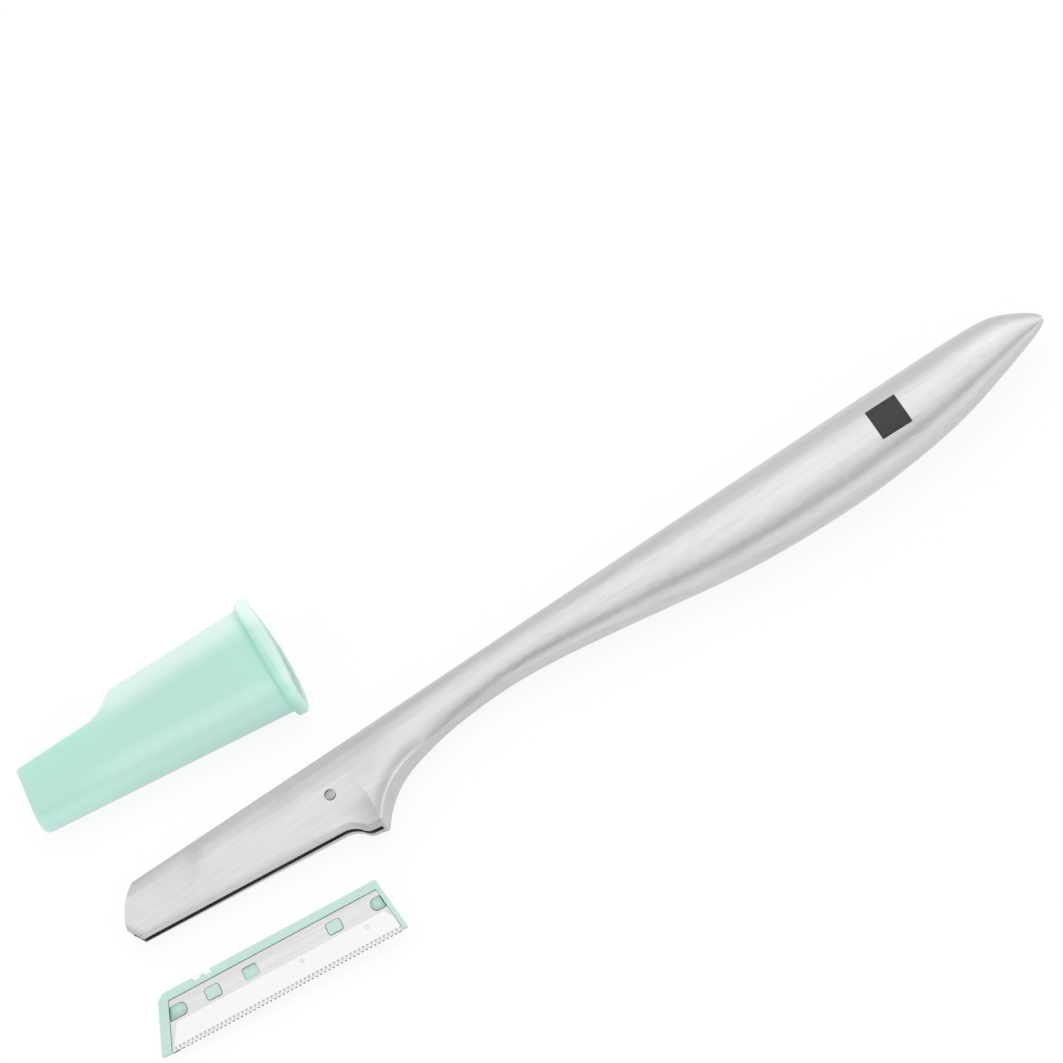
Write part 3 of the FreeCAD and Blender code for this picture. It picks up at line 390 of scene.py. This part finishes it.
def mint_plastic(name, tint, roughness, depth_of_light, weight):
    """Pale plastic; weight is how much of the light goes in, as far as depth_of_light."""
    plastic = Finish(name, Subsurface_Weight=weight, Subsurface_Scale=depth_of_light,
                     Subsurface_Radius=LIGHT_REACH, IOR=PLASTIC_IOR)
    cloud = plastic.noise(plastic.place, MINT_CLOUD, detail=3.0)
    grain = plastic.noise(plastic.place, MINT_GRAIN)
    light = tuple(MINT_LIGHTER * share for share in tint) + (1.0,)
    deep = tuple(MINT_DEEPER * share for share in tint) + (1.0,)
    plastic.tint = plastic.blend(cloud, deep, light)
    plastic.set("Base Color", plastic.tint)
    plastic.set("Roughness", roughness + GRAIN_ROUGHNESS * (grain - 0.5))
    plastic.set("Normal", plastic.bump(grain, GRAIN_DEPTH))
    return plastic


dress("blade_holder", mint_plastic("moulded_mint", HOLDER_MINT, roughness=0.45,
                                   depth_of_light=0.6 * MM, weight=0.3))

# %% [markdown]
# The cap is hollow and lets some light through, and its rounded top catches the light. This is painted
# light in the colour: it is paler in a band under the rounded top of its wide part, in a softer one
# above its lower edge, in that edge and in the lip. Painted shade makes the mint deepest where the
# lip meets the wall. Translucent walls could give the light, but they are slow and noisy to render.
# So the bands are drawn in the colour: each is a distance from a line along the cap, turned into a ramp.

# %% Painted light and shade on the cap
CAP_TURN = math.radians(-2.4)
LOW_EDGE_Y = 15.2
TOP_SLOPE, MOUTH_LEAN = 0.058, 0.098
TOP_ACROSS, TOP_ALONG = (24.8, 28.0), (-13.0, -5.0)
LOW_RISE, LOW_FALL, LOW_ALONG = (0.6, 2.6), (5.4, 3.0), (-17.0, -9.0)
EDGE_ACROSS = (2.0, 0.5)
LIP, FOOT_RISE, FOOT_FALL = (16.9, 17.6), (15.5, 16.3), (17.1, 16.3)
TOP_SHARE, LOW_SHARE, LIP_SHARE, EDGE_SHARE, FOOT_SHARE = 0.8, 0.3, 0.55, 0.7, 0.6
LIT_MINT = (0.70, 0.86, 0.80, 1.0)
LIT_EDGE_MINT = (0.62, 0.95, 0.84, 1.0)
SHADED_MINT = (0.36, 0.70, 0.58, 1.0)

soft = mint_plastic("soft_mint", CAP_MINT, roughness=0.5, depth_of_light=1.5 * MM, weight=0.6)
across, length = soft.axis("Y"), soft.axis("X")
from_low = across - math.tan(CAP_TURN) * length - LOW_EDGE_Y * MM
from_top = across - TOP_SLOPE * length
to_mouth = length + MOUTH_LEAN * across
lit_top_band = soft.ramp(from_top, *TOP_ACROSS) * soft.ramp(length, *TOP_ALONG)
lit_low_band = soft.ramp(from_low, *LOW_RISE) * soft.ramp(from_low, *LOW_FALL) * soft.ramp(length, *LOW_ALONG)
lit_low_edge = soft.ramp(from_low, *EDGE_ACROSS)
lit_lip_band = soft.ramp(to_mouth, *LIP)
lip_foot_shade = soft.ramp(to_mouth, *FOOT_RISE) * soft.ramp(to_mouth, *FOOT_FALL)
# Painted light: paler bands under the top, above the low edge, in that edge and in the lip.
painted_light = TOP_SHARE * lit_top_band + LOW_SHARE * lit_low_band + LIP_SHARE * lit_lip_band
mixed = soft.blend(painted_light, soft.tint, LIT_MINT)
mixed = soft.blend(EDGE_SHARE * lit_low_edge, mixed, LIT_EDGE_MINT)
# Painted shade: the deepest mint where the lip meets the wall.
soft.set("Base Color", soft.blend(FOOT_SHARE * lip_foot_shade, mixed, SHADED_MINT))
dress("cap", soft)

# %% [markdown]
# ## Small details
# Some things are too small for the solids: the painted shade of the dark gap round the stop pin, the
# two spot welds that hold the guard to the blade, and the round ends of the blade's notches with their
# rims of painted shade. Each is shaped with a few bmesh operators. One helper then merges its doubles,
# points its faces outwards, gives it its finish and lets it ride on a body.

# %% Piece helper
MERGE = 0.0001 * MM


def finish_piece(name, shape, finish, body):
    """Make an object of a shape, on a body, with a finish."""
    bmesh.ops.remove_doubles(shape, verts=shape.verts, dist=MERGE)
    bmesh.ops.recalc_face_normals(shape, faces=shape.faces)
    mesh = bpy.data.meshes.new(name)
    shape.to_mesh(mesh)
    shape.free()
    mesh.shade_smooth()
    piece = bpy.data.objects.new(name, mesh)
    bpy.context.scene.collection.objects.link(piece)
    mesh.materials.append(finish.material)
    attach(piece, body)
    print("%s: %d faces" % (name, len(mesh.polygons)))


# %% [markdown]
# The pin sits in a narrow groove, which lies in deep shade and looks black. A darker steel there would
# still mirror the tent, so a dull dark ring of painted shade lies in the groove: a small outline, spun
# once round the pin. The ring and the welds lean with the cheek of the head.

# %% Pin gap
CHEEK = Vector((-0.05, -0.04, 1.0)).normalized()
lean = Vector((0.0, 0.0, 1.0)).rotation_difference(CHEEK).to_matrix().to_4x4()
pin_low, pin_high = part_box("stop_pin")
pin_mid = (Vector(pin_low) + Vector(pin_high)) / 2
GAP_IN, GAP_OUT, GAP_RISE, GAP_DROP = 0.712 * MM, 0.825 * MM, 0.05 * MM, 0.26 * MM
GAP_DEEP, GAP_LIGHT, GAP_SPECK = grey(0.012), grey(0.04), 1500.0
GAP_STEPS = 48
gap = bmesh.new()
outline = [gap.verts.new(spot) for spot in ((GAP_IN, 0.0, 0.0), (GAP_OUT, 0.0, 0.0),
                                            (GAP_OUT, 0.0, GAP_RISE), (GAP_IN, 0.0, GAP_RISE))]
sides = [gap.edges.new(pair) for pair in zip(outline, outline[1:] + outline[:1])]
bmesh.ops.spin(gap, geom=outline + sides, cent=(0.0, 0.0, 0.0), axis=(0.0, 0.0, 1.0),
               angle=2 * math.pi, steps=GAP_STEPS, use_merge=True)
pin_top = Vector((pin_mid.x, pin_mid.y, pin_high[2])) - CHEEK * GAP_DROP
gap.transform(Matrix.Translation(pin_top) @ lean)
# Painted shade: a dull dark finish stands for the shade in the groove.
painted_shade_finish = Finish("pin_gap_shade", Roughness=0.6)
painted_shade_finish.set("Base Color", painted_shade_finish.blend(painted_shade_finish.noise(painted_shade_finish.place, GAP_SPECK), GAP_DEEP, GAP_LIGHT))
finish_piece("pin_gap", gap, painted_shade_finish, "handle")

# %% [markdown]
# A spot weld is a small round mark, less than a millimetre wide. It could be a bump in the steel's
# finish, but a low dome also catches the light from the side. So each is a ball, pressed flat.

# %% Spot welds
WELDS = ((10.5, -17.6, 2.02), (0.7, -17.4, 1.78))
WELD_RADIUS, WELD_RISE = 0.34 * MM, 0.06 * MM
WELD_AROUND, WELD_UP = 24, 12
welds = bmesh.new()
flat = Matrix.Diagonal((1.0, 1.0, WELD_RISE / WELD_RADIUS, 1.0))
for spot in WELDS:
    stand = Matrix.Translation(Vector(spot) * MM) @ lean @ flat
    bmesh.ops.create_uvsphere(welds, u_segments=WELD_AROUND, v_segments=WELD_UP, radius=WELD_RADIUS,
                              matrix=stand)
weld_steel = brushed_steel("weld_steel", tone=0.64, roughness=0.3, streak=0.03, depth=0.002 * MM)
finish_piece("spot_welds", welds, weld_steel, "cartridge")

# %% [markdown]
# The blade has a notch at each end, and the holder's plastic shows in it. A round cut through the
# blade would change its imported mesh, so a thin pad of the plastic lies on the blade's face, on a
# slightly larger dark pad: a rim of painted shade, where the notch's edge would cast its shadow. A pad
# starts from four corners, two at the blade's end and two inside it, which are rounded.
# Each corner is set on the plane of the blade's largest face.

# %% Notch ends
NOTCHES = {"tip": ((-18.6, -16.2), (-17.95, -14.35), (-15.9, -14.35), (-15.9, -16.2)),
           "heel": ((13.78, -14.4), (14.02, -16.2), (12.2, -16.2), (12.2, -14.4))}
NOTCH_ROUND, PAD, RIM = 0.85 * MM, 0.012 * MM, 0.06 * MM
NOTCH_STEPS = 8
NOTCH_MINT = (0.47, 0.69, 0.61)
FACES_UP = 0.9
upper = [side for side in nodes["blade"].data.polygons if side.normal.z > FACES_UP]
face = max(upper, key=lambda side: side.area)


def notch_pads(name, grow, lift, finish):
    """Thin pads on the blade's face, rounded at their inner ends."""
    pads = bmesh.new()
    for corners in NOTCHES.values():
        middle = sum((Vector(corner) for corner in corners), Vector((0.0, 0.0))) / len(corners) * MM
        verts = []
        for corner in corners:
            spot = Vector(corner) * MM
            spot += Vector([math.copysign(grow, way) for way in spot - middle])
            slope = face.normal.xy.dot(spot - face.center.xy) / face.normal.z
            verts.append(pads.verts.new((spot.x, spot.y, face.center.z - slope + lift)))
        pads.faces.new(verts)
        bmesh.ops.bevel(pads, geom=verts[2:], offset=NOTCH_ROUND, affect="VERTICES",
                        segments=NOTCH_STEPS, profile=0.5, material=-1)
    shell = bmesh.ops.extrude_face_region(pads, geom=pads.faces[:])
    raised = [part for part in shell["geom"] if isinstance(part, bmesh.types.BMVert)]
    bmesh.ops.translate(pads, verts=raised, vec=face.normal * PAD)
    finish_piece(name, pads, finish, "cartridge")


notch_mint = mint_plastic("notch_mint", NOTCH_MINT, roughness=0.45, depth_of_light=0.6 * MM, weight=0.0)
# Painted shade: a dark rim round each notch's end.
notch_pads("notch_shade_rims", grow=RIM, lift=PAD, finish=painted_shade_finish)
notch_pads("notch_ends", grow=0.0, lift=3 * PAD, finish=notch_mint)

# %% [markdown]
# ## White paper and soft light
# The table is a sheet of white paper. Lit by lamps alone it would come out uneven and grey. So the
# camera and the reflections see it mostly as a white glow, and a small share of the light that falls
# on it keeps a faint shadow under the pieces.

# %% Paper
PAPER_HALF = 3.0


def ray_is(graph, *kinds):
    """1 for the kinds of ray that are named, else 0."""
    total = None
    for kind in kinds:
        path = graph.add("LightPath")
        one = Wire(graph, path.socket.node.outputs["Is %s Ray" % kind])
        total = one if total is None else total + one
    return total


table_top = Matrix.Translation((0.0, 0.0, cad_low[2]))
flat_sheet = bmesh.new()
bmesh.ops.create_grid(flat_sheet, x_segments=1, y_segments=1, size=PAPER_HALF, matrix=table_top)
paper_mesh = bpy.data.meshes.new("paper")
flat_sheet.to_mesh(paper_mesh)
flat_sheet.free()
paper = bpy.data.objects.new("paper", paper_mesh)
bpy.context.scene.collection.objects.link(paper)

SHADOW_SHARE = 0.13
PAPER_WHITE = grey(0.97)
sheet = Finish("white_paper", Roughness=1.0)
sheet.set("Base Color", PAPER_WHITE)
glow = sheet.add("Emission", {}, {"Color": grey(1.0), "Strength": 1.0})
seen = ray_is(sheet, "Camera", "Glossy", "Transmission") * (1.0 - SHADOW_SHARE)
lit = Wire(sheet, sheet.surface.outputs[0])
both = sheet.add("MixShader", {}, {0: seen, 1: lit, 2: glow})
sheet.feed(sheet.tree.nodes["Material Output"].inputs["Surface"], both)
paper_mesh.materials.append(sheet.material)
print("paper %.0f m wide, %d face" % (paper.dimensions.x, len(paper_mesh.polygons)))

# %% [markdown]
# The sky is a studio tent: pale all round, brightest overhead behind the razor, with a dark strip
# on the camera's side that draws the bands along the steel. It could be built from large lamps and
# black cards, but then each band would need its own. One ramp of tones holds them all: each stop is
# a share of the half turn from behind the razor over the top, with its tone. The tent is a little
# darker towards the tip. Only mirrored light sees the ramp; the camera sees plain white, and the
# rest of the light is even.

# %% Studio tent
TENT_STOPS = [(0.0, 0.55), (0.08, 0.55), (0.178, 0.57), (0.222, 0.66), (0.26, 0.75), (0.3, 0.8),
              (0.4, 0.82), (0.47, 0.775), (0.52, 0.735), (0.56, 0.7), (0.6, 0.655), (0.645, 0.58),
              (0.68, 0.44), (0.705, 0.33), (0.74, 0.33), (0.775, 0.5), (0.81, 0.63), (0.86, 0.66),
              (0.92, 0.675), (1.0, 0.64)]
TIP_SHADE, TIP_LIMIT = 0.25, -0.4
TENT_LIGHT = 1.78
AMBIENT = 0.85

world = bpy.data.worlds.new("tent")
world.use_nodes = True
bpy.context.scene.world = world
tent = Graph(world.node_tree)
ray = tent.add("TexCoord", output=0)
split = tent.add("SeparateXYZ", {}, {"Vector": ray})
towards = Wire(tent, split.socket.node.outputs["Y"])
above = Wire(tent, split.socket.node.outputs["Z"])
sideways = Wire(tent, split.socket.node.outputs["X"])
tipward = tent.add("Math", {"operation": "MINIMUM"}, {0: sideways, 1: 0.0})
tipward = tent.add("Math", {"operation": "MAXIMUM"}, {0: tipward, 1: TIP_LIMIT})
dimmer = TENT_LIGHT * (1.0 + TIP_SHADE * tipward)
turn = tent.add("Math", {"operation": "ARCTAN2"}, {0: above, 1: towards})
ramp = tent.add("ValToRGB", {"stops": TENT_STOPS}, {"Fac": turn * (1.0 / math.pi)})
mirror = ray_is(tent, "Glossy", "Transmission")
sight = ray_is(tent, "Camera")
mirrored = tent.add("VectorMath", {"operation": "SCALE"}, {0: ramp, "Scale": dimmer})
tone = tent.blend(mirror, grey(AMBIENT), mirrored)
tone = tent.blend(sight, tone, grey(1.0))
background = world.node_tree.nodes["Background"]
tent.feed(background.inputs["Color"], tone)
print("tent with %d tones" % len(TENT_STOPS))

# %% [markdown]
# Even light alone gives no direction. One large lamp behind the razor gives the shadow its side, and
# it is kept out of the reflections, where the tent already sets the tones.

# %% Soft key light
KEY_LONG, KEY_WIDE, KEY_POWER = 0.9, 0.6, 2.2
KEY_PLACE = Vector((0.0, 0.35, 0.75))
key_data = bpy.data.lights.new("key", "AREA")
key_data.shape = "RECTANGLE"
key_data.size = KEY_LONG
key_data.size_y = KEY_WIDE
key_data.energy = KEY_POWER
key = bpy.data.objects.new("key", key_data)
bpy.context.scene.collection.objects.link(key)
key.location = PICTURE_MIDDLE + KEY_PLACE
key.rotation_euler = (-KEY_PLACE).to_track_quat("-Z", "Y").to_euler()
key.visible_glossy = False
print("key light at", key.location[:])

# %% [markdown]
# ## Last settings
# Colours are shown as they are written, and the view layer is brought up to date.

# %% Finish
bpy.context.scene.view_settings.view_transform = "Standard"
bpy.context.view_layer.update()
